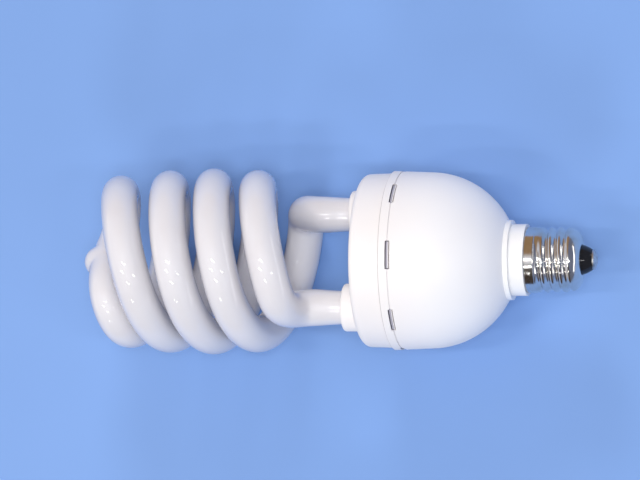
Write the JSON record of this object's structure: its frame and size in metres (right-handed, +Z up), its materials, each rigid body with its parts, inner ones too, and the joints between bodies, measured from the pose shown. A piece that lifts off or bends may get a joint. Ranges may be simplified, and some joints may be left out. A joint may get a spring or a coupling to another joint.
{
  "type": "energy saving bulb",
  "caption": "Compact fluorescent lamp: a white double-spiral glass tube on a round ballast housing with a threaded screw cap, lying on its side.",
  "frame": {"origin": "centre of the object's footprint, at the height of the surface it lies on", "axes": "+X runs along the lamp to its cap, 1.64 degrees nose-up; +Y is across the lamp; +Z is up"},
  "size_m": [0.214, 0.0768, 0.0769],
  "materials": {
    "phosphor_tube": "smooth glass tube with an opaque white inner coating",
    "housing_plastic": "moulded white flame-resistant plastic, satin",
    "collar_plastic": "moulded white plastic, glossy",
    "cap_metal": "rolled nickel-bright screw shell",
    "insulator_glass": "black vitrite, glossy",
    "contact_solder": "tinned contact",
    "board_laminate": "paper laminate circuit board",
    "capacitor_can": "sleeved electrolytic can",
    "ferrite": "sintered ferrite, dull",
    "bobbin_plastic": "moulded bobbin",
    "copper_wire": "enamelled copper winding",
    "fuse_coat": "coated fusible resistor",
    "thermistor_coat": "dipped thermistor disc",
    "wire_cover": "insulated hook-up wire",
    "lead_wire": "tinned wire and posts",
    "cement": "white fixing cement",
    "film_coat": "dipped film capacitor",
    "package_plastic": "moulded semiconductor package"
  },
  "bodies": {
    "root": {"ballast_bowl": "housing_plastic", "bulk_capacitor": "capacitor_can", "cap_collar": "collar_plastic", "cap_insulator": "insulator_glass", "cap_shell": "cap_metal", "centre_contact": "contact_solder", "choke_bobbin": "bobbin_plastic", "choke_core": "ferrite", "choke_winding": "copper_wire", "circuit_board": "board_laminate", "drive_transformer": "ferrite", "drive_winding_1": "copper_wire", "drive_winding_2": "copper_wire", "drive_winding_3": "copper_wire", "filament_lead_1": "lead_wire", "filament_lead_2": "lead_wire", "filament_lead_3": "lead_wire", "filament_lead_4": "lead_wire", "film_capacitor_1": "film_coat", "film_capacitor_2": "film_coat", "film_capacitor_3": "film_coat", "filter_choke": "ferrite", "filter_winding": "copper_wire", "input_fuse": "fuse_coat", "line_wire": "wire_cover", "neutral_wire": "wire_cover", "rectifier_diode_1": "package_plastic", "rectifier_diode_2": "package_plastic", "rectifier_diode_3": "package_plastic", "rectifier_diode_4": "package_plastic", "spiral_tube": "phosphor_tube", "thermistor": "thermistor_coat", "transistor_1": "package_plastic", "transistor_2": "package_plastic", "tube_cement_1": "cement", "tube_cement_2": "cement", "tube_cover": "housing_plastic", "wrap_post_1": "lead_wire", "wrap_post_2": "lead_wire", "wrap_post_3": "lead_wire", "wrap_post_4": "lead_wire"}
  },
  "joints": []
}
